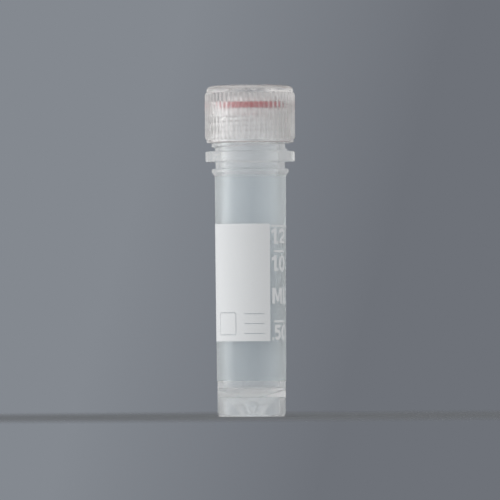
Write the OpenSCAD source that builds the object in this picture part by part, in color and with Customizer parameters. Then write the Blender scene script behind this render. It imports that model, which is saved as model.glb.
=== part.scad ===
// Self-standing screw-cap vial for frozen samples, 2 ml, closed.
// Three mouldings: the tube with its thread, collars, welled floor and skirt,
// the ribbed cap with its thread and plug, and the sealing ring squeezed between them.
// Origin at the centre of the foot, +Z up the axis of the tube. Sizes in millimetres.

/* [Tube body] */
// Height of the tube from its foot to its rim
tube_h = 43.7; // [34:0.1:60]
// Diameter of the bore at the rim
bore_d = 8.1; // [6.6:0.1:12]
// How much narrower the bore is at its floor
bore_draft = 0.2; // [0:0.05:0.4]
// Thickness of the body wall
body_wall = 1; // [0.8:0.05:1.4]
// How much narrower the body is at the top of the skirt
body_draft = 0.28; // [0:0.02:0.4]

/* [Floor, cone and skirt] */
// Height of the skirt that the tube stands on
skirt_h = 5.06; // [4.2:0.02:8]
// How far the skirt is set back from the body above it
skirt_step = 0.06; // [0.04:0.01:0.1]
// Thickness of the skirt
skirt_wall = 0.85; // [0.7:0.05:1.05]
// Radius of the rounded foot
foot_round = 0.5; // [0.2:0.05:0.5]
// Angle between the cone under the floor and the axis
cone_angle = 43.6; // [38:0.2:52]
// Diameter of the flat under the cone
tip_d = 2.16; // [1.6:0.04:2.6]
// Height of that flat above the surface that the foot stands on
tip_lift = 0.15; // [0.1:0.05:0.5]
// Thickness of the floor under the well
floor_t = 1; // [0.8:0.05:1.2]
// Diameter of the well at its mouth
well_d = 1.8; // [1.4:0.1:2.4]
// Diameter of the well at its bottom
well_foot_d = 0.5; // [0.3:0.1:1.2]
// Depth of the well
well_depth = 1.7; // [1:0.1:2]
// Rise of the floor from the well to the bore
floor_rise = 1.18; // [0.6:0.02:1.6]
// Width of the web between the cone and the skirt
web_w = 0.43; // [0.15:0.01:0.6]

/* [Collars and neck] */
// Height of the threaded neck from the collar to the rim
neck_h = 6.07; // [5.0:0.01:8]
// How far the neck is set back from the body
neck_step = 0.065; // [0:0.005:0.15]
// How far the collar stands out from the body
collar_out = 1.31; // [1:0.01:1.8]
// Height of the collar
collar_h = 1.56; // [1.2:0.02:2.2]
// Groove between the collar and the locking ring under it
groove_h = 0.92; // [0.7:0.02:1.4]
// Depth of that groove below the body's surface
groove_depth = 0.12; // [0.05:0.01:0.2]
// How far the locking ring stands out from the body
ring_out = 0.43; // [0.3:0.01:0.7]
// Height of the locking ring's upright edge
ring_h = 0.5; // [0.4:0.02:0.9]
// Height of the bevel under the locking ring
bevel_h = 0.62; // [0.4:0.02:1]

/* [Thread] */
// Rise of the thread in one turn
pitch = 1.4; // [1.15:0.05:1.7]
// Height of a thread ridge from the wall that carries it
ridge_out = 0.485; // [0.35:0.005:0.6]
// Width of a ridge at its crest
ridge_crest = 0.45; // [0.35:0.01:0.55]
// Gap between a ridge's crest and the wall that it faces
thread_gap = 0.15; // [0.1:0.01:0.2]
// Play along the axis between the foot of one ridge and the crest of its neighbour
thread_play = 0.1; // [0.05:0.01:0.15]
// Bare length of the neck between its thread and the rim
bare_neck_h = 1.3; // [1:0.1:3]
// Bare length of the cap's bore below its thread
bare_mouth_h = 0.63; // [0.4:0.01:1]
// Bare length of the cap's bore above its thread
bare_seat_h = 1.46; // [1:0.02:2.5]

/* [Cap] */
// Gap between the closed cap and the collar
cap_gap = 1.13; // [0.6:0.01:1.4]
// Thickness of the cap's wall between its ribs
cap_wall = 0.58; // [0.45:0.01:1]
// Thickness of the cap's top over the sealing ring
cap_top_t = 2.32; // [1.9:0.01:3]
// Diameter of the recess in the cap's top
recess_d = 7.4; // [6:0.1:8.9]
// Depth of that recess
recess_depth = 0.65; // [0.4:0.05:0.8]
// Radius of the cap's rounded upper edge
crown_round = 0.9; // [0.5:0.05:1.1]
// Number of grip ribs round the cap
rib_count = 54; // [36:2:60]
// How far the ribs stand out from the cap's wall
rib_out = 0.2; // [0.12:0.01:0.24]
// Plain band under the ribs
band_h = 0.49; // [0.25:0.01:0.8]
// Plain crown above the ribs
crown_h = 1.05; // [0.95:0.05:1.4]
// Length of the plug that enters the bore
plug_len = 2.4; // [1.8:0.1:3.2]
// Thickness of the plug's wall
plug_wall = 0.75; // [0.6:0.05:1.2]
// Gap between the plug and the bore at the rim
plug_gap = 0.1; // [0.05:0.01:0.2]
// How far the plug's hollow reaches into the cap's top
plug_core_rise = 0.64; // [0.2:0.02:0.9]

/* [Sealing ring] */
// Thickness of the ring before it is squeezed
seal_d = 1.05; // [0.8:0.01:1.15]
// Gap between the ring and the plug
seal_gap = 0.1; // [0.05:0.01:0.15]
// Squeeze of the ring under the closed cap
seal_squeeze = 0.07; // [0.02:0.01:0.15]

/* [Hidden] */
$fn = 96;
edge_round = 0.25;       // outer corners of the collar and the locking ring
fillet = 0.15;           // inner corners of the neck
rim_round = 0.2;         // outer and inner corners of the rim
cap_rim_round = 0.2;     // lower outer corner of the cap
break_edge = 0.1;        // small chamfers
arc_steps = 5;           // chords in a quarter round
ridge_steps = 40;        // stretches in one turn of a thread
ridge_sink = 0.2;        // how deep a ridge is rooted in its wall
ridge_ramp = 9;          // stretches over which a ridge grows to its full height
first_neck_turn = -0.11; // where the neck's thread starts, sunk in the collar
first_ridge_lift = 0.08; // height of the neck's ridge above the collar at +X
plug_lead = 0.3;         // taper at the plug's lower end
bore_lead = 0.25;        // chamfer at the mouth of the cap
rib_ramp = 0.5;          // tapered end of a grip rib
rib_fill = 0.7;          // share of the rib pitch that a rib takes up

bore_r = bore_d / 2;
bore_foot_r = bore_r - bore_draft / 2;
body_r = bore_r + body_wall;
body_foot_r = body_r - body_draft / 2;
skirt_r = body_foot_r - skirt_step;
skirt_bore_r = skirt_r - skirt_wall;
neck_r = body_r - neck_step;
groove_r = body_r - groove_depth;
ring_r = body_r + ring_out;
collar_r = body_r + collar_out;

collar_top = tube_h - neck_h;
collar_z = collar_top - collar_h;
ring_top = collar_z - groove_h;
ring_z = ring_top - ring_h;
bevel_z = ring_z - bevel_h;

// The floor falls from the bore to the well, inside a cone that the skirt surrounds.
floor_z = tip_lift + floor_t;
well_z = floor_z + well_depth;
bore_foot_z = well_z + floor_rise;
tip_r = tip_d / 2;
web_r = skirt_bore_r - web_w;
web_z = tip_lift + (web_r - tip_r) / tan(cone_angle);

// The cap closes on the sealing ring, which stands on the rim.
seal_h = seal_d - seal_squeeze;
seat_z = tube_h + seal_h;
cap_z = collar_top + cap_gap;
cap_top = seat_z + cap_top_t;
cap_bore_r = neck_r + ridge_out + thread_gap;
cap_r = cap_bore_r + cap_wall;
plug_r = bore_r - plug_gap;
plug_core_r = plug_r - plug_wall;
plug_z = seat_z - plug_len;
seal_mid_r = plug_r + seal_gap + seal_d / 2;
rib_r = rib_fill * PI * cap_r / rib_count;
rib_axis_r = cap_r + rib_out - rib_r;
rib_z = cap_z + band_h;
rib_top = cap_top - crown_h;

// Both threads lie on one helix, half a pitch apart. Turns are counted from where it crosses +X.
ridge_foot = pitch - ridge_crest - 2 * thread_play;
neck_ridge_z = collar_top + first_ridge_lift;
last_neck_turn = (tube_h - bare_neck_h - ridge_foot / 2 - neck_ridge_z) / pitch;
cap_ridge_z = neck_ridge_z + pitch / 2;
first_cap_turn = (cap_z + bare_mouth_h + ridge_foot / 2 - cap_ridge_z) / pitch;
last_cap_turn = (seat_z - bare_seat_h - ridge_foot / 2 - cap_ridge_z) / pitch;

// Points of a round stretch about centre [x, y], from angle a to angle b.
function arc(x, y, r, a, b) =
    [for (i = [0:arc_steps]) let (t = a + (b - a) * i / arc_steps) [x + r * cos(t), y + r * sin(t)]];

// A screw ridge as one closed sweep. Its root lies in the wall at root_r and its crest reaches out
// (or in, for a negative height) by height. The height grows from nothing over the first and last
// few stretches, so that both ends run out into the wall.
module ridge(root_r, height, z_at_x, first_turn, last_turn) {
    n = round((last_turn - first_turn) * ridge_steps);
    inward = height < 0;
    sink_r = root_r + (inward ? ridge_sink : -ridge_sink);
    slope = (ridge_foot - ridge_crest) / 2 / abs(height);
    foot_half = ridge_foot / 2 + slope * ridge_sink;
    function share(i) = min(1, (i + 0.5) / ridge_ramp, (n - i + 0.5) / ridge_ramp);
    function section(i) =
        let (turn = first_turn + i / ridge_steps,
             z = z_at_x + turn * pitch,
             reach = share(i) * (abs(height) + ridge_sink),
             crest_r = sink_r + (inward ? -reach : reach),
             crest_half = foot_half - slope * reach,
             a = 360 * turn)
        [for (p = [[sink_r, z - foot_half], [crest_r, z - crest_half],
                   [crest_r, z + crest_half], [sink_r, z + foot_half]])
            [p[0] * cos(a), p[0] * sin(a), p[1]]];
    points = [for (i = [0:n]) each section(i)];
    // Every face runs clockwise seen from outside, so an outward ridge's faces are turned round.
    function turned(f) = inward ? f : [for (i = [len(f) - 1:-1:0]) f[i]];
    side_faces = [for (i = [0:n - 1], k = [0:3], half = [0:1])
        let (j = 4 * i, m = (k + 1) % 4)
        turned(half == 0 ? [j + k, j + 4 + k, j + 4 + m] : [j + k, j + 4 + m, j + m])];
    end_faces = [turned([0, 1, 2, 3]), turned([4 * n + 3, 4 * n + 2, 4 * n + 1, 4 * n])];
    polyhedron(points, concat(side_faces, end_faces), convexity = 8);
}

function tube_outline() = concat(
    // Underside of the floor, the hollow of the skirt and the rounded foot
    [[0, tip_lift], [tip_r, tip_lift], [web_r, web_z], [skirt_bore_r, web_z]],
    [[skirt_bore_r, break_edge], [skirt_bore_r + break_edge, 0]],
    arc(skirt_r - foot_round, foot_round, foot_round, -90, 0),
    // Skirt and body
    [[skirt_r, skirt_h], [body_foot_r, skirt_h + skirt_step], [body_r, bevel_z]],
    // Locking ring
    [[ring_r - break_edge / 4, ring_z]],
    arc(ring_r - edge_round, ring_top - edge_round, edge_round, 0, 90),
    // Groove and collar
    arc(groove_r + fillet, ring_top + fillet, fillet, 270, 180),
    arc(groove_r + fillet, collar_z - fillet, fillet, 180, 90),
    arc(collar_r - edge_round, collar_z + edge_round, edge_round, -90, 0),
    arc(collar_r - edge_round, collar_top - edge_round, edge_round, 0, 90),
    // Neck and rim
    arc(neck_r + fillet, collar_top + fillet, fillet, 270, 180),
    arc(neck_r - rim_round, tube_h - rim_round, rim_round, 0, 90),
    arc(bore_r + rim_round, tube_h - rim_round, rim_round, 90, 180),
    // Bore, floor and well
    [[bore_foot_r, bore_foot_z], [well_d / 2, well_z], [well_foot_d / 2, floor_z], [0, floor_z]]
);

module tube() {
    color([0.80, 0.84, 0.86, 0.6])
    union() {
        rotate_extrude() polygon(tube_outline());
        ridge(neck_r, ridge_out, neck_ridge_z, first_neck_turn, last_neck_turn);
    }
}

function cap_outline() = concat(
    // Recessed top and rounded crown
    [[0, cap_top - recess_depth], [recess_d / 2, cap_top - recess_depth]],
    [[recess_d / 2, cap_top - break_edge], [recess_d / 2 + break_edge, cap_top]],
    arc(cap_r - crown_round, cap_top - crown_round, crown_round, 90, 0),
    // Lower rim and the mouth of the cap
    arc(cap_r - cap_rim_round, cap_z + cap_rim_round, cap_rim_round, 0, -90),
    [[cap_bore_r + bore_lead, cap_z], [cap_bore_r, cap_z + bore_lead]],
    // Seat of the sealing ring
    [[cap_bore_r, seat_z - fillet], [cap_bore_r - fillet, seat_z], [plug_r, seat_z]],
    // Hollow plug
    [[plug_r, plug_z + 2 * plug_lead], [plug_r - plug_lead, plug_z], [plug_core_r, plug_z]],
    [[plug_core_r, seat_z + plug_core_rise - fillet], [plug_core_r - fillet, seat_z + plug_core_rise]],
    [[0, seat_z + plug_core_rise]]
);

// One grip rib: a round bar with pointed ends, its back sunk in the cap's wall.
module grip_rib() {
    translate([rib_axis_r, 0, rib_z])
    rotate_extrude($fn = 24)
    polygon([[0, 0], [rib_r, rib_ramp], [rib_r, rib_top - rib_z - rib_ramp], [0, rib_top - rib_z]]);
}

module cap() {
    color([0.85, 0.86, 0.87, 0.6])
    union() {
        rotate_extrude() polygon(cap_outline());
        ridge(cap_bore_r, -ridge_out, cap_ridge_z, first_cap_turn, last_cap_turn);
        for (i = [0:rib_count - 1]) rotate(360 * (i + 0.5) / rib_count) grip_rib();
    }
}

// The squeezed ring has a flat above and below, where the cap and the rim bear on it.
module o_ring() {
    color([0.68, 0.09, 0.13])
    rotate_extrude()
    translate([seal_mid_r, tube_h + seal_h / 2])
    intersection() {
        circle(d = seal_d, $fn = 48);
        square([2 * seal_d, seal_h], center = true);
    }
}

tube();
cap();
o_ring();
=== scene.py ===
import math

import bmesh
import bpy
import numpy as np
from mathutils import Matrix, Vector


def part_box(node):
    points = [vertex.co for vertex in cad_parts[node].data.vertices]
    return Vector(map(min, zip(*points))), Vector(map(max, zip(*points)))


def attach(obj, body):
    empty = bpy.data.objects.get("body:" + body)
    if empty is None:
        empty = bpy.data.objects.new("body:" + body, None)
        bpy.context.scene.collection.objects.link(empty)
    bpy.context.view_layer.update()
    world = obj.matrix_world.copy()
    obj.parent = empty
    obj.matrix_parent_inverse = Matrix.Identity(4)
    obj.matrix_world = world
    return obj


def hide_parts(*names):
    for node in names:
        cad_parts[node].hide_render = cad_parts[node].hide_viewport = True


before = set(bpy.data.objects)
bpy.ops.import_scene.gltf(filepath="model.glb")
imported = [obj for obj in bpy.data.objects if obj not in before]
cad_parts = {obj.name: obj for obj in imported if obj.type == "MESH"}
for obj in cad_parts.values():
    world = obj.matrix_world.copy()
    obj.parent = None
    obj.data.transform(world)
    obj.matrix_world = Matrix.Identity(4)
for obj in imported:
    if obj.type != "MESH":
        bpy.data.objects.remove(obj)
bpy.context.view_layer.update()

# ---------------------------------------------------------------------------
# Tube. One injection moulding in natural polypropylene: a drafted bore with a conical
# floor and a well, a plain skirt to stand on, a locking ring, a collar and a screw thread.
# The gate is under the cone's tip, where the runner was twisted off. Sizes in millimetres.

mm = 0.001
_, tube_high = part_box("tube")

rim_z = tube_high.z / mm
collar_r = tube_high.x / mm
bore_r, bore_foot_r = 4.05, 3.95
body_r, body_foot_r = 5.05, 4.91
neck_r, groove_r, ring_r = 4.985, 4.93, 5.48
skirt_r, skirt_bore_r, skirt_h = 4.85, 4.0, 5.06
body_foot_z = skirt_h + 0.06
cone_flat_r, cone_tip_r = 0.25, 1.08
cone_top_z, floor_z, tip_z = 4.03, 1.15, 0.15
well_r, well_z = 0.9, 2.85
web_r, web_z = 3.57, 2.765
gate_r, gate_edge, gate_depth = 0.34, 0.08, 0.06
bevel_z, ring_z, ring_top = 34.03, 34.65, 35.15
collar_z, collar_top = 36.07, 37.63

thread_pitch = 1.4
ridge_reach = 0.485
ridge_crest_w, ridge_foot_w = 0.45, 0.75
ridge_runout = 0.22
neck_ridge_z = 37.71
neck_turns = (-0.11, 3.093)


def arc(x, y, radius, start, stop, steps):
    """Points of a round corner about (x, y), from one angle to the other in degrees."""
    angles = np.radians(np.linspace(start, stop, steps + 1))
    return [(x + radius * math.cos(a), y + radius * math.sin(a)) for a in angles]


def rounded(corners):
    """An outline through the corners (r, z, rounding), each rounded off by a tangent arc."""
    points = []
    for i, (r, z, rounding) in enumerate(corners):
        if rounding == 0:
            points.append((r, z))
            continue
        here = np.array((r, z))
        back = np.array(corners[i - 1][:2]) - here
        ahead = np.array(corners[(i + 1) % len(corners)][:2]) - here
        back, ahead = back / np.linalg.norm(back), ahead / np.linalg.norm(ahead)
        half = math.acos(np.clip(back @ ahead, -1, 1)) / 2
        middle = (back + ahead) / np.linalg.norm(back + ahead)
        centre = here + middle * rounding / math.sin(half)
        start = here + back * rounding / math.tan(half) - centre
        stop = here + ahead * rounding / math.tan(half) - centre
        sweep = math.atan2(start[0] * stop[1] - start[1] * stop[0], start @ stop)
        steps = max(3, round(abs(sweep) / math.radians(15)))
        for k in range(steps + 1):
            t = sweep * k / steps
            points.append((centre[0] + start[0] * math.cos(t) - start[1] * math.sin(t),
                           centre[1] + start[0] * math.sin(t) + start[1] * math.cos(t)))
    return points


def ridge_section():
    """Half a pitch either side of a ridge's middle: offsets along the axis and reach, 0 to 1."""
    points = rounded([
        (-thread_pitch / 2, 0, 0), (-ridge_foot_w / 2, 0, 0.07), (-ridge_crest_w / 2, ridge_reach, 0.10),
        (ridge_crest_w / 2, ridge_reach, 0.10), (ridge_foot_w / 2, 0, 0.07), (thread_pitch / 2, 0, 0)])
    return np.array([(a, reach / ridge_reach) for a, reach in points])


def thread_rows(angles, z_at_x, turns, low, high, wall_r, reach):
    """Rows of a wall from low to high that carries a screw ridge, as radii and heights.
    Each row runs round with the ridge, and joins the row one turn on where the round closes.
    The ridge's middle crosses the X axis at z_at_x, and turns are its start and end, in turns."""
    section = ridge_section()[:-1]
    rounds = range(math.floor(turns[0]) - 1, math.ceil(turns[1]) + 1)
    way_round = angles / (2 * math.pi)
    z = np.array([z_at_x + thread_pitch * (n + way_round) + a for n in rounds for a, _ in section])

    def reach_at(turn, offset):
        share = np.clip(np.minimum(turn - turns[0], turns[1] - turn) / ridge_runout, 0, 1)
        share = share * share * (3 - 2 * share)
        return share * np.interp(offset, *ridge_section().T)

    r = np.empty_like(z)
    z = np.clip(z, low, high)
    for i in range(len(z)):
        total = (z[i] - z_at_x) / thread_pitch - way_round
        n = np.round(total)
        r[i] = wall_r + reach * reach_at(n + way_round, (total - n) * thread_pitch)
    return r, z, len(section)


def turned(name, angles, stretches, sharp=32):
    """A closed moulding from stretches of rows going round the axis: each stretch is
    (radii, heights, shift), and shift says how many rows on a thread's rows join up.
    Edges that turn by more than sharp, in degrees, stay crisp."""
    columns = len(angles)
    verts, faces, start = [], [], 0
    ring_before = None
    for radii, heights, shift in stretches:
        rows = len(radii)
        radii = np.broadcast_to(np.reshape(radii, (rows, -1)), (rows, columns))
        heights = np.broadcast_to(np.reshape(heights, (rows, -1)), (rows, columns))
        points = np.stack([radii * np.cos(angles), radii * np.sin(angles), heights], axis=-1)
        verts.append(points.reshape(-1, 3))
        index = start + np.arange(rows * columns).reshape(rows, columns)
        if ring_before is not None:
            ahead = np.roll(ring_before, -1), np.roll(index[0], -1)
            faces.append(np.stack([ring_before, ahead[0], ahead[1], index[0]], axis=-1))
        a, b = index[:-1], index[1:]
        if shift:
            faces.append(np.stack([a[:, :-1], a[:, 1:], b[:, 1:], b[:, :-1]], axis=-1).reshape(-1, 4))
            faces.append(np.stack([a[:-shift, -1], a[shift:, 0], b[shift:, 0], b[:-shift, -1]], axis=-1))
        else:
            a2, b2 = np.roll(a, -1, axis=1), np.roll(b, -1, axis=1)
            faces.append(np.stack([a, a2, b2, b], axis=-1).reshape(-1, 4))
        ring_before = index[-1]
        start += rows * columns
    mesh = bpy.data.meshes.new(name)
    mesh.from_pydata((np.concatenate(verts) * mm).tolist(), [], np.concatenate(faces).tolist())
    form = bmesh.new()
    form.from_mesh(mesh)
    weld = 2e-7
    bmesh.ops.remove_doubles(form, verts=form.verts, dist=weld)
    bmesh.ops.dissolve_degenerate(form, edges=form.edges, dist=weld)
    bmesh.ops.recalc_face_normals(form, faces=form.faces)
    form.to_mesh(mesh)
    form.free()
    mesh.shade_smooth()
    mesh.set_sharp_from_angle(angle=math.radians(sharp))
    piece = bpy.data.objects.new(name, mesh)
    bpy.context.scene.collection.objects.link(piece)
    return piece


def rings(points):
    """Plain rows of a moulding, from outline points."""
    points = np.array(points)
    return points[:, 0], points[:, 1], 0


tube_columns = 256
tube_angles = np.linspace(0, 2 * math.pi, tube_columns, endpoint=False)
neck_fillet = 0.15
neck_low, neck_high = collar_top + neck_fillet, rim_z - 0.9
neck_thread = thread_rows(tube_angles, neck_ridge_z, neck_turns, neck_low, neck_high, neck_r, ridge_reach)

tube_outside = rounded([
    (0, tip_z + gate_depth, 0), (gate_r, tip_z + gate_depth, 0.04), (gate_r + gate_edge, tip_z, 0.03),
    (cone_tip_r, tip_z, 0.15), (web_r, web_z, 0.12), (skirt_bore_r, web_z, 0.12), (skirt_bore_r, 0, 0.1),
    (skirt_r, 0, 0.5), (skirt_r, skirt_h, 0.03), (body_foot_r, body_foot_z, 0.03),
    (body_r, bevel_z, 0.15), (ring_r, ring_z, 0.12), (ring_r, ring_top, 0.22),
    (groove_r, ring_top, 0.15), (groove_r, collar_z, 0.15), (collar_r, collar_z, 0.22),
    (collar_r, collar_top, 0.22), (neck_r + 0.6, collar_top, 0)])
ridge_at_foot = neck_thread[0][0] - neck_r
neck_foot = np.array(arc(neck_r + neck_fillet, neck_low, neck_fillet, 270, 180, 5))
neck_foot_r = neck_foot[:, :1] + ridge_at_foot
neck_foot_z = neck_foot[:, 1]
tube_inside = rounded([
    (neck_r, neck_high + 0.1, 0), (neck_r, rim_z, 0.2), (bore_r, rim_z, 0.2),
    (bore_foot_r, cone_top_z, 0.3), (well_r, well_z, 0.25), (cone_flat_r, floor_z, 0.1), (0, floor_z, 0)])
tube = turned("tube_moulding", tube_angles, [
    rings(tube_outside), (neck_foot_r, neck_foot_z, 0), neck_thread, rings(tube_inside)])


def math_node(nodes, links, operation, first, second):
    """A maths node that works on two sockets or numbers."""
    node = nodes.new("ShaderNodeMath")
    node.operation = operation
    for socket, value in zip(node.inputs, (first, second)):
        if isinstance(value, (int, float)):
            socket.default_value = value
        else:
            links.new(value, socket)
    return node.outputs[0]


def plastic(name, tint, satin_r, satin_z, milkiness, roughness, gloss, cloud):
    """Natural polypropylene, clouded by its own crystals: cloud is their colour, how dense they
    are, and how far they throw light forwards. The skin is satin beyond satin_r and between the
    two heights of satin_z, and clearer elsewhere: tint, milkiness and roughness give both, the
    clear skin first. A gloss of 1 puts a polished face over all of it."""
    material = bpy.data.materials.new(name)
    material.use_nodes = True
    nodes, links = material.node_tree.nodes, material.node_tree.links
    shader = nodes["Principled BSDF"]
    shader.inputs["IOR"].default_value = 1.49
    shader.inputs["Coat Weight"].default_value = gloss
    shader.inputs["Coat Roughness"].default_value = 0.06
    place = nodes.new("ShaderNodeTexCoord")
    flat = nodes.new("ShaderNodeMapping")
    flat.inputs["Scale"].default_value = (1, 1, 0)
    links.new(place.outputs["Object"], flat.inputs["Vector"])
    away = nodes.new("ShaderNodeVectorMath")
    away.operation = "LENGTH"
    links.new(flat.outputs["Vector"], away.inputs[0])
    parts = nodes.new("ShaderNodeSeparateXYZ")
    links.new(place.outputs["Object"], parts.inputs[0])
    satin = math_node(nodes, links, "GREATER_THAN", away.outputs["Value"], satin_r * mm)
    for side, height in zip(("GREATER_THAN", "LESS_THAN"), satin_z):
        level = math_node(nodes, links, side, parts.outputs["Z"], height * mm)
        satin = math_node(nodes, links, "MULTIPLY", satin, level)
    milky = nodes.new("ShaderNodeMapRange")
    polish = nodes.new("ShaderNodeMapRange")
    for node, (in_clear, in_satin) in ((milky, milkiness), (polish, roughness)):
        node.inputs["To Min"].default_value = in_clear
        node.inputs["To Max"].default_value = in_satin
        links.new(satin, node.inputs["Value"])
    see_through = math_node(nodes, links, "SUBTRACT", 1.0, milky.outputs["Result"])
    links.new(see_through, shader.inputs["Transmission Weight"])
    shader.inputs["Base Color"].default_value = (*tint[0], 1)
    if tint[1] != tint[0]:
        colour = nodes.new("ShaderNodeMix")
        colour.data_type = "RGBA"
        colour.inputs["A"].default_value = (*tint[0], 1)
        colour.inputs["B"].default_value = (*tint[1], 1)
        links.new(satin, colour.inputs["Factor"])
        links.new(colour.outputs["Result"], shader.inputs["Base Color"])
    # Slow waves drawn out along the flow, a millimetre across, and specks a tenth of that.
    flow = nodes.new("ShaderNodeMapping")
    flow.inputs["Scale"].default_value = (1, 1, 0.25)
    waves = nodes.new("ShaderNodeTexNoise")
    waves.inputs["Scale"].default_value = 900
    waves.inputs["Detail"].default_value = 2
    specks = nodes.new("ShaderNodeTexNoise")
    specks.inputs["Scale"].default_value = 9000
    specks.inputs["Detail"].default_value = 3
    links.new(place.outputs["Object"], flow.inputs["Vector"])
    links.new(flow.outputs["Vector"], waves.inputs["Vector"])
    links.new(place.outputs["Object"], specks.inputs["Vector"])
    mottle = nodes.new("ShaderNodeMapRange")
    mottle.inputs["From Min"].default_value = 0.3
    mottle.inputs["From Max"].default_value = 0.7
    mottle.inputs["To Min"].default_value = 0.85
    mottle.inputs["To Max"].default_value = 1.15
    links.new(waves.outputs["Fac"], mottle.inputs["Value"])
    uneven = math_node(nodes, links, "MULTIPLY", polish.outputs["Result"], mottle.outputs["Result"])
    links.new(uneven, shader.inputs["Roughness"])
    soft = nodes.new("ShaderNodeBump")
    soft.inputs["Strength"].default_value = 0.05
    soft.inputs["Distance"].default_value = 0.00004
    fine = nodes.new("ShaderNodeBump")
    fine.inputs["Strength"].default_value = 0.15
    fine.inputs["Distance"].default_value = 0.000004
    links.new(waves.outputs["Fac"], soft.inputs["Height"])
    links.new(soft.outputs["Normal"], fine.inputs["Normal"])
    links.new(specks.outputs["Fac"], fine.inputs["Height"])
    links.new(fine.outputs["Normal"], shader.inputs["Normal"])
    # Shadows pass straight through, so that the lamps reach the crystals inside.
    ray = nodes.new("ShaderNodeLightPath")
    passing = nodes.new("ShaderNodeBsdfTransparent")
    passing.inputs["Color"].default_value = (0.95, 0.95, 0.95, 1)
    lit = nodes.new("ShaderNodeMixShader")
    links.new(ray.outputs["Is Shadow Ray"], lit.inputs["Fac"])
    links.new(shader.outputs["BSDF"], lit.inputs[1])
    links.new(passing.outputs["BSDF"], lit.inputs[2])
    links.new(lit.outputs["Shader"], nodes["Material Output"].inputs["Surface"])
    crystals = nodes.new("ShaderNodeVolumeScatter")
    crystals.inputs["Color"].default_value = (*cloud[0], 1)
    crystals.inputs["Density"].default_value = cloud[1]
    crystals.inputs["Anisotropy"].default_value = cloud[2]
    links.new(crystals.outputs["Volume"], nodes["Material Output"].inputs["Volume"])
    return material


tube_plastic = plastic(
    "tube_plastic", tint=((0.955, 0.977, 0.99), (0.90, 0.972, 1.0)), satin_r=4.5, satin_z=(5.1, 34.1),
    milkiness=(0.12, 0.01), roughness=(0.18, 0.37), gloss=0.0, cloud=((0.90, 0.965, 1.0), 85, 0.2))
tube.data.materials.append(tube_plastic)
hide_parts("tube")
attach(tube, "tube")

# ---------------------------------------------------------------------------
# Print. White ink, screen printed round the finished tube: a field to write on, with a
# tick box and three ruled lines left bare in it, and the graduations in millilitres.

ink_rise, ink_sink = 0.02, 0.01
strip_w = 0.15
field_low, field_high = 10.66, 27.31
field_left, field_right = -140, 33
digit_h, bar_h = 2.25, 0.28
mark_line = 0.08
# What is printed, with its left end in degrees from the front and the height of its foot.
texts = [("1.2", 36.0, 24.43), ("1.0", 36.0, 20.56), ("ML", 37.0, 15.96), (".50", 36.8, 10.77)]
# Left and right end in degrees from the front, and the height of the middle.
bars = [(34.8, 112, 26.98), (41.0, 68.5, 23.39), (41.0, 68.5, 13.45)]
body_slope = (body_r - body_foot_r) / (bevel_z - body_foot_z)
print_r = (body_r + body_foot_r) / 2


def along(turn):
    """Length round the tube from its front line, for a turn in degrees to the right."""
    return math.radians(turn) * print_r


def flat_shape(loops):
    """The area between closed loops of points, as flat artwork for the print."""
    drawing = bpy.data.curves.new("artwork", "CURVE")
    drawing.dimensions, drawing.fill_mode = "2D", "BOTH"
    for loop in loops:
        line = drawing.splines.new("POLY")
        line.points.add(len(loop) - 1)
        for point, (x, y) in zip(line.points, loop):
            point.co = (x, y, 0, 1)
        line.use_cyclic_u = True
    return drawing


def box_loop(left, right, low, high, corner=0.0):
    """A rectangle as a closed loop of points, its corners rounded off if asked."""
    if corner == 0:
        return [(left, low), (right, low), (right, high), (left, high)]
    left, right, low, high = left + corner, right - corner, low + corner, high - corner
    return (arc(right, low, corner, -90, 0, 6) + arc(right, high, corner, 0, 90, 6)
            + arc(left, high, corner, 90, 180, 6) + arc(left, low, corner, 180, 270, 6))


def bowed(x, y, width, height, start, stop):
    """Points along a round stretch of a digit, about (x, y), from one angle to the other."""
    return [(x + width * math.cos(math.radians(a)), y + height * math.sin(math.radians(a)))
            for a in np.linspace(start, stop, 15)]


def pen(path, width):
    """The outline of a line of the given width along a path."""
    path = [np.array(p) for p in path]
    sides = [], []
    for i, here in enumerate(path):
        back = here - path[i - 1] if i else path[1] - here
        ahead = path[i + 1] - here if i + 1 < len(path) else back
        back, ahead = back / np.linalg.norm(back), ahead / np.linalg.norm(ahead)
        out = np.array((-(back + ahead)[1], (back + ahead)[0]))
        out /= max(out @ (-back[1], back[0]), 0.5)
        sides[0].append(here + out * width / 2)
        sides[1].append(here - out * width / 2)
    return [tuple(p) for p in sides[0] + sides[1][::-1]]


# Bold characters as closed loops, d tall with strokes w wide, and the advance to the next one.
d, w = digit_h, 0.50
glyphs = {
    "1": ([[(0, 1.42), (0.44, 1.65), (0.44, 0), (0.95, 0), (0.95, d), (0.55, d), (0, 1.86)]], 1.02),
    ".": ([[(0, 0), (0.28, 0), (0.28, 0.44), (0, 0.44)]], 0.35),
    "2": ([pen(bowed(0.85, 1.48, 0.60, 0.52, 172, -30)
               + [(0.42, w / 2 + 0.04), (1.72, w / 2 + 0.04)], w)], 1.9),
    "5": ([pen([(1.36, d - w / 2), (0.38, d - w / 2), (0.36, 1.30)]
               + bowed(0.70, 0.80, 0.48, 0.55, 90, -145), w * 0.92)], 1.56),
    "0": ([bowed(0.88, d / 2, 0.88, d / 2, 0, 336),
           bowed(0.88, d / 2, 0.38, d / 2 - 0.42, 0, 336)], 1.9),
    "M": ([[(0, 0), (0, d), (0.66, d), (1.08, 0.95), (1.48, d), (2.12, d), (2.12, 0), (1.64, 0),
            (1.64, 1.5), (1.26, 0.3), (0.90, 0.3), (0.50, 1.5), (0.50, 0)]], 2.42),
    "L": ([[(0, 0), (1.3, 0), (1.3, 0.42), (0.5, 0.42), (0.5, d), (0, d)]], 1.4)}


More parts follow.
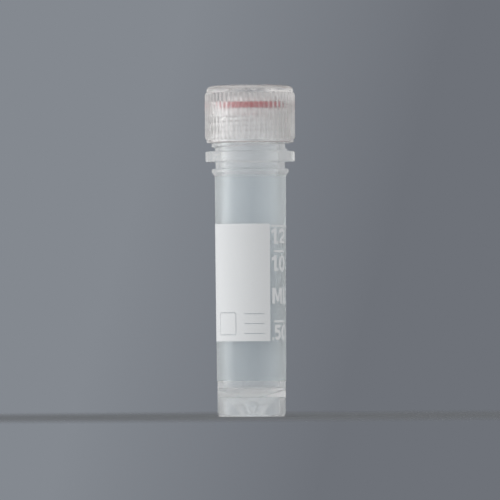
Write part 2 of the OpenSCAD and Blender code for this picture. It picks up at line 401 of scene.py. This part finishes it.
def as_mesh(drawing):
    """The filled mesh of a piece of flat artwork."""
    holder = bpy.data.objects.new("drawing", drawing)
    bpy.context.scene.collection.objects.link(holder)
    bpy.context.view_layer.update()
    filled = holder.evaluated_get(bpy.context.evaluated_depsgraph_get())
    mesh = bpy.data.meshes.new_from_object(filled)
    bpy.data.objects.remove(holder)
    return mesh


def lettering(text, left, base):
    """Flat artwork for a number or unit that starts at left, its foot at base."""
    form = bmesh.new()
    for character in text:
        loops, advance = glyphs[character]
        placed = [[(left + x, base + y) for x, y in loop] for loop in loops]
        form.from_mesh(as_mesh(flat_shape(placed)))
        left += advance
    return form


def printed(name, form):
    """Wraps flat artwork round the tube as a thin layer of ink."""
    bmesh.ops.remove_doubles(form, verts=form.verts, dist=1e-4)
    reach = [v.co.x for v in form.verts]
    for cut in np.arange(math.floor(min(reach) / strip_w) * strip_w, max(reach), strip_w):
        bmesh.ops.bisect_plane(form, geom=form.verts[:] + form.edges[:] + form.faces[:], dist=1e-6,
                               plane_co=(cut, 0, 0), plane_no=(1, 0, 0))
    layer = bmesh.ops.extrude_face_region(form, geom=form.faces[:], use_keep_orig=True)["geom"]
    under = {v for v in layer if isinstance(v, bmesh.types.BMVert)}
    for v in form.verts:
        turn = v.co.x / print_r
        r = body_foot_r + body_slope * (v.co.y - body_foot_z) + (-ink_sink if v in under else ink_rise)
        v.co = Vector((r * math.sin(turn), -r * math.cos(turn), v.co.y)) * mm
    bmesh.ops.recalc_face_normals(form, faces=form.faces)
    mesh = bpy.data.meshes.new(name)
    form.to_mesh(mesh)
    form.free()
    mesh.shade_smooth()
    mesh.set_sharp_from_angle(angle=math.radians(40))
    piece = bpy.data.objects.new(name, mesh)
    bpy.context.scene.collection.objects.link(piece)
    return piece


# The field, with the tick box's line and the ruled lines cut out of it.
tick_left, tick_right, tick_low, tick_high = -5.4, -2.2, 11.55, 14.75
tick_corner, tick_inner_corner = 0.3, 0.24
rule_left, rule_right, rule_heights = -1.0, 1.9, (11.75, 13.15, 14.55)
field = [box_loop(along(field_left), along(field_right), field_low, field_high)]
field.append(box_loop(tick_left, tick_right, tick_low, tick_high, tick_corner))
field.append(box_loop(tick_left + mark_line, tick_right - mark_line,
                      tick_low + mark_line, tick_high - mark_line, tick_inner_corner))
for height in rule_heights:
    field.append(box_loop(rule_left, rule_right, height - mark_line / 2, height + mark_line / 2))
form = bmesh.new()
form.from_mesh(as_mesh(flat_shape(field)))
writing_field = printed("writing_field", form)

form = bmesh.new()
for left, right, height in bars:
    bar = box_loop(along(left), along(right), height - bar_h / 2, height + bar_h / 2)
    form.from_mesh(as_mesh(flat_shape([bar])))
scale_bars = printed("scale_bars", form)
scale_texts = []
for number, (text, left, base) in enumerate(texts):
    scale_texts.append(printed(f"scale_text_{number + 1}", lettering(text, along(left), base)))


def grained(name, colour, roughness, grain, depth):
    """A matt coating or rubber: a fine grain in its surface, its colour and its gloss. Colour and
    roughness each give the two ends of their range, and grain and depth are millimetres."""
    material = bpy.data.materials.new(name)
    material.use_nodes = True
    nodes, links = material.node_tree.nodes, material.node_tree.links
    shader = nodes["Principled BSDF"]
    place = nodes.new("ShaderNodeTexCoord")
    noise = nodes.new("ShaderNodeTexNoise")
    noise.inputs["Scale"].default_value = 1 / (grain * mm)
    noise.inputs["Detail"].default_value = 3
    links.new(place.outputs["Object"], noise.inputs["Vector"])
    tint = nodes.new("ShaderNodeMix")
    tint.data_type = "RGBA"
    tint.inputs["A"].default_value = (*colour[0], 1)
    tint.inputs["B"].default_value = (*colour[1], 1)
    links.new(tint.outputs["Result"], shader.inputs["Base Color"])
    for socket, (low, high) in ((shader.inputs["Roughness"], roughness), (tint.inputs["Factor"], (0, 1))):
        span = nodes.new("ShaderNodeMapRange")
        span.inputs["From Min"].default_value = 0.3
        span.inputs["From Max"].default_value = 0.7
        span.inputs["To Min"].default_value = low
        span.inputs["To Max"].default_value = high
        links.new(noise.outputs["Fac"], span.inputs["Value"])
        links.new(span.outputs["Result"], socket)
    bump = nodes.new("ShaderNodeBump")
    bump.inputs["Strength"].default_value = 0.4
    bump.inputs["Distance"].default_value = depth * mm
    links.new(noise.outputs["Fac"], bump.inputs["Height"])
    links.new(bump.outputs["Normal"], shader.inputs["Normal"])
    return material


ink = grained("white_ink", colour=((0.845, 0.865, 0.88), (0.875, 0.895, 0.91)),
              roughness=(0.48, 0.62), grain=0.09, depth=0.006)
for piece in [writing_field, scale_bars] + scale_texts:
    piece.data.materials.append(ink)
    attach(piece, "tube")

# ---------------------------------------------------------------------------
# Sealing ring. A red silicone O-ring, moulded in one piece, that sits in the cap round the
# plug. Screwing the cap down squeezes it a little flat against the tube's rim.

seal_mid_r, seal_r = 4.575, 0.525
ring_columns, section_points = 192, 40
seal_low, seal_high = (v.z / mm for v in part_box("o_ring"))
seal_z, seal_half = (seal_low + seal_high) / 2, (seal_high - seal_low) / 2
section = [(seal_mid_r + seal_r * math.cos(a),
            seal_z + np.clip(seal_r * math.sin(a), -seal_half, seal_half))
           for a in np.linspace(0, 2 * math.pi, section_points)]
ring_angles = np.linspace(0, 2 * math.pi, ring_columns, endpoint=False)
ring = turned("sealing_ring", ring_angles, [rings(section)])

silicone = grained("red_silicone", colour=((0.49, 0.018, 0.040), (0.55, 0.022, 0.050)),
                   roughness=(0.38, 0.52), grain=0.12, depth=0.008)
ring.data.materials.append(silicone)
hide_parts("o_ring")
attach(ring, "seal")

# ---------------------------------------------------------------------------
# Cap. One injection moulding in clearer natural polypropylene: grip ribs outside, a
# thread inside, a hollow plug that enters the bore, and a recess in the top for a
# coloured disc. It was gated in the middle of that recess.

cap_low, cap_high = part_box("cap")
cap_z, cap_top = cap_low.z / mm, cap_high.z / mm
cap_r, rib_crest_r, cap_bore_r = 6.2, 6.4, 5.62
rib_count = 54
rib_z, rib_top, rib_ramp = cap_z + 0.49, cap_top - 1.05, 0.5
recess_r, recess_z = 3.7, cap_top - 0.65
seat_z = seal_high
plug_r, plug_core_r, plug_z, core_z = 3.95, 3.2, seat_z - 2.4, seat_z + 0.64
cap_gate_r, cap_gate_edge, cap_gate_rise = 0.4, 0.1, 0.05
cap_ridge_z = neck_ridge_z + thread_pitch / 2
cap_turns = (0.97, 3.18)

# Columns round the cap: the foot, flank and crest of each rib, with its edges eased.
rib_rise = rib_crest_r - cap_r
foot_half_w, crest_half_w, edge_run, edge_rise = 0.27, 0.09, 0.05, 0.035
one_rib = [(-foot_half_w, 0), (edge_run - foot_half_w, edge_rise),
           (-crest_half_w - edge_run, rib_rise - edge_rise), (-crest_half_w, rib_rise)]
one_rib += [(-along_rim, rise) for along_rim, rise in one_rib[::-1]]
rib_pitch = 2 * math.pi / rib_count
cap_angles = np.concatenate([[across / cap_r + rib_pitch * (i + 0.5) for across, _ in one_rib]
                             for i in range(rib_count)])
rib_rises = np.tile([rise for _, rise in one_rib], rib_count)

# Rows up the ribs, which swell out of the wall at their foot and sink back at their top.
rib_ends = np.linspace(0, rib_ramp, 6)
rib_heights = np.concatenate([rib_z + rib_ends, rib_top - rib_ends[::-1]])[::-1]
rib_share = np.sqrt(np.clip(np.concatenate([rib_ends, rib_ends[::-1]]) / rib_ramp, 0, 1))
ribs = (cap_r + rib_share[:, None] * rib_rises, rib_heights, 0)

cap_crown = rounded([
    (0, recess_z + cap_gate_rise, 0), (cap_gate_r, recess_z + cap_gate_rise, 0.04),
    (cap_gate_r + cap_gate_edge, recess_z, 0.04), (recess_r, recess_z, 0.12),
    (recess_r, cap_top, 0.12), (cap_r, cap_top, 0.9), (cap_r, cap_top - 0.99, 0)])
cap_mouth = rounded([
    (cap_r, rib_z - 0.05, 0), (cap_r, cap_z, 0.2), (cap_bore_r + 0.25, cap_z, 0.06),
    (cap_bore_r, cap_z + 0.25, 0.1), (cap_bore_r, cap_z + 0.35, 0)])
cap_thread = thread_rows(cap_angles, cap_ridge_z, cap_turns, cap_z + 0.4, seat_z - 1.0,
                         cap_bore_r, -ridge_reach)
cap_plug = rounded([
    (cap_bore_r, seat_z - 0.9, 0), (cap_bore_r, seat_z, 0.15), (plug_r, seat_z, 0.08),
    (plug_r, plug_z + 0.6, 0.3), (plug_r - 0.3, plug_z, 0.12), (plug_core_r, plug_z, 0.12),
    (plug_core_r, core_z, 0.2), (0, core_z, 0)])
cap = turned("cap_moulding", cap_angles,
             [rings(cap_crown), ribs, rings(cap_mouth), cap_thread, rings(cap_plug)], sharp=40)

cap_plastic = plastic(
    "cap_plastic", tint=((1.0, 0.985, 0.98), (1.0, 0.985, 0.98)), satin_r=5.3, satin_z=(39.2, 46.0),
    milkiness=(0.03, 0.04), roughness=(0.12, 0.32), gloss=1.0, cloud=((1.0, 0.98, 0.975), 30, 0.2))
cap.data.materials.append(cap_plastic)
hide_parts("cap")
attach(cap, "cap")

# ---------------------------------------------------------------------------
# Studio: a grey sweep with painted shade, darker to the right and downwards, bright walls at
# the sides, a table with a painted glow under the vial though it is no lamp, broad lights on
# the left and one overhead. The table fades into the sweep, and is see-through from beneath.
# Sizes here in metres.

floor_r, fade_r, painted_glow_r = 0.12, 0.02, 4.9 * mm
floor_drop = 0.01 * mm
table_glow, room_glow = 0.55, 0.41
floor_mesh = bpy.data.meshes.new("floor")
form = bmesh.new()
bmesh.ops.create_circle(form, cap_ends=True, radius=floor_r, segments=128)
form.to_mesh(floor_mesh)
form.free()
floor = bpy.data.objects.new("floor", floor_mesh)
bpy.context.scene.collection.objects.link(floor)
floor.location.z = -floor_drop


def straight_ray(nodes, links):
    """1 for a ray that shows the backdrop: seen plainly, mirrored off an outside face, or bent
    by clear plastic. 0 for light scattered or trapped in the plastic, which all the room gives."""
    ray = nodes.new("ShaderNodeLightPath").outputs
    either = math_node(nodes, links, "MAXIMUM", ray["Is Camera Ray"], ray["Is Glossy Ray"])
    direct = math_node(nodes, links, "MAXIMUM", either, ray["Is Transmission Ray"])
    turned_ray = math_node(nodes, links, "SUBTRACT", ray["Ray Depth"], ray["Glossy Depth"])
    scattered = math_node(nodes, links, "SUBTRACT", turned_ray, ray["Transmission Depth"])
    once = math_node(nodes, links, "LESS_THAN", scattered, 1.5)
    inside = math_node(nodes, links, "MULTIPLY", ray["Glossy Depth"], ray["Transmission Depth"])
    one_way = math_node(nodes, links, "LESS_THAN", inside, 0.5)
    clean = math_node(nodes, links, "MULTIPLY", direct, once)
    return math_node(nodes, links, "MULTIPLY", clean, one_way)


paper = bpy.data.materials.new("grey_paper")
paper.use_nodes = True
nodes, links = paper.node_tree.nodes, paper.node_tree.links
shader = nodes["Principled BSDF"]
shader.inputs["Base Color"].default_value = (0.165, 0.177, 0.193, 1)
shader.inputs["Roughness"].default_value = 0.8
# Painted glow: light scattered in the plastic finds the paper glowing evenly, with no shadow of the vial,
# in place of lit paper.
painted_glow = nodes.new("ShaderNodeEmission")
painted_glow.inputs["Strength"].default_value = table_glow
above = nodes.new("ShaderNodeMixShader")
links.new(painted_glow.outputs["Emission"], above.inputs[1])
links.new(shader.outputs["BSDF"], above.inputs[2])
place = nodes.new("ShaderNodeTexCoord")
spread = nodes.new("ShaderNodeVectorMath")
spread.operation = "LENGTH"
links.new(place.outputs["Object"], spread.inputs[0])
fade = nodes.new("ShaderNodeMapRange")
fade.interpolation_type = "SMOOTHSTEP"
fade.inputs["From Min"].default_value = fade_r
fade.inputs["From Max"].default_value = floor_r
links.new(spread.outputs["Value"], fade.inputs["Value"])
# Close under the foot the paper shows the painted glow to every ray: a painted bright patch that lights
# the foot's edge.
beside = math_node(nodes, links, "GREATER_THAN", spread.outputs["Value"], painted_glow_r)
as_paper = math_node(nodes, links, "MULTIPLY", straight_ray(nodes, links), beside)
links.new(as_paper, above.inputs["Fac"])
bare = nodes.new("ShaderNodeBsdfTransparent")
sweep = nodes.new("ShaderNodeMixShader")
under = nodes.new("ShaderNodeNewGeometry")
gone = math_node(nodes, links, "MAXIMUM", fade.outputs["Result"], under.outputs["Backfacing"])
links.new(gone, sweep.inputs["Fac"])
links.new(above.outputs["Shader"], sweep.inputs[1])
links.new(bare.outputs["BSDF"], sweep.inputs[2])
links.new(sweep.outputs["Shader"], nodes["Material Output"].inputs["Surface"])
floor.data.materials.append(paper)

# Painted shade on the sweep: its colour is brighter to the left and upwards and darker to the right and
# downwards. How fast it changes, and where it starts and stops.
sweep_slope, sweep_start, sweep_stop = (-39.6, 0, 11.6), -0.42, 0.58
world = bpy.data.worlds.new("studio")
bpy.context.scene.world = world
world.use_nodes = True
nodes, links = world.node_tree.nodes, world.node_tree.links
nodes.clear()
ambient = nodes.new("ShaderNodeBackground")
ambient.inputs["Color"].default_value = (1, 1, 1, 1)
ambient.inputs["Strength"].default_value = room_glow
place = nodes.new("ShaderNodeTexCoord")
across = nodes.new("ShaderNodeVectorMath")
across.operation = "DOT_PRODUCT"
across.inputs[1].default_value = sweep_slope
links.new(place.outputs["Generated"], across.inputs[0])
painted_sweep_shade = nodes.new("ShaderNodeMix")
painted_sweep_shade.data_type = "RGBA"
painted_sweep_shade.inputs["A"].default_value = (0.156, 0.168, 0.191, 1)
painted_sweep_shade.inputs["B"].default_value = (0.231, 0.250, 0.279, 1)
tone = nodes.new("ShaderNodeMapRange")
tone.inputs["From Min"].default_value = sweep_start
tone.inputs["From Max"].default_value = sweep_stop
links.new(across.outputs["Value"], tone.inputs["Value"])
links.new(tone.outputs["Result"], painted_sweep_shade.inputs["Factor"])
side = nodes.new("ShaderNodeSeparateXYZ")
links.new(place.outputs["Generated"], side.inputs[0])
walls = painted_sweep_shade.outputs["Result"]
# Each wall: where the sweep starts to give way to it, where it is full, and its colour.
left_wall = (-0.10, -0.45, (0.78, 0.77, 0.76, 1))
right_wall = (0.10, 0.45, (0.50, 0.50, 0.50, 1))
for near, far, colour in (left_wall, right_wall):
    turned_to = nodes.new("ShaderNodeMapRange")
    turned_to.interpolation_type = "SMOOTHSTEP"
    turned_to.inputs["From Min"].default_value = near
    turned_to.inputs["From Max"].default_value = far
    links.new(side.outputs["X"], turned_to.inputs["Value"])
    panel = nodes.new("ShaderNodeMix")
    panel.data_type = "RGBA"
    links.new(turned_to.outputs["Result"], panel.inputs["Factor"])
    links.new(walls, panel.inputs["A"])
    panel.inputs["B"].default_value = colour
    walls = panel.outputs["Result"]
seen = nodes.new("ShaderNodeBackground")
links.new(walls, seen.inputs["Color"])
mixed = nodes.new("ShaderNodeMixShader")
out = nodes.new("ShaderNodeOutputWorld")
links.new(straight_ray(nodes, links), mixed.inputs["Fac"])
links.new(ambient.outputs[0], mixed.inputs[1])
links.new(seen.outputs[0], mixed.inputs[2])
links.new(mixed.outputs[0], out.inputs["Surface"])


def softbox(name, place, aim, width, height, watts, glare=True):
    """A broad flat studio light that points at a spot on the vial's axis. Without glare it lights
    the vial but isn't mirrored in it."""
    light = bpy.data.lights.new(name, "AREA")
    light.shape = "RECTANGLE"
    light.size, light.size_y = width, height
    light.energy = watts
    lamp = bpy.data.objects.new(name, light)
    bpy.context.scene.collection.objects.link(lamp)
    lamp.location = place
    lamp.rotation_euler = (Vector(aim) - Vector(place)).to_track_quat("-Z", "Y").to_euler()
    lamp.visible_camera = False
    lamp.visible_glossy = lamp.visible_transmission = glare


middle = (0, 0, 0.024)
softbox("left_side", (-0.84, -0.02, 0.15), middle, 0.85, 0.7, 2.1)
softbox("left_front", (-0.75, -0.62, 0.25), middle, 0.6, 0.6, 0.5, glare=False)
softbox("front_left", (-0.50, -1.00, 0.35), middle, 1.2, 1.2, 2.4)
softbox("front_right", (0.65, -0.55, 0.20), middle, 0.5, 0.7, 0.4)
softbox("rim_left", (-0.60, 0.50, 0.10), middle, 0.3, 0.6, 0.6, glare=False)
softbox("rim_right", (0.75, 0.35, 0.15), middle, 0.3, 0.6, 0.6, glare=False)
softbox("overhead", (-0.05, 0.10, 0.80), middle, 0.5, 0.5, 0.5)

# The camera stands well back, just above the table, and a touch off level.
camera_x, camera_back, camera_z, aim_z, lean = -0.00011, -1.5, 0.01211, 0.02361, -0.37
camera_data = bpy.data.cameras.new("camera")
camera = bpy.data.objects.new("camera", camera_data)
bpy.context.scene.collection.objects.link(camera)
camera.location = (camera_x, camera_back, camera_z)
aim = Vector((camera_x, 0, aim_z)) - camera.location
upright = aim.to_track_quat("-Z", "Y").to_matrix().to_4x4()
roll = Matrix.Rotation(math.radians(lean), 4, "Z")
camera.rotation_euler = (upright @ roll).to_euler()
camera_data.lens = 761
camera_data.clip_start, camera_data.clip_end = 0.01, 20
bpy.context.scene.camera = camera
bpy.context.scene.view_settings.view_transform = "Standard"

# Light crosses many faces and bounces many times inside milky plastic before it gets out.
cycles = bpy.context.scene.cycles
cycles.max_bounces, cycles.transmission_bounces, cycles.volume_bounces = 32, 24, 16
cycles.transparent_max_bounces = 24
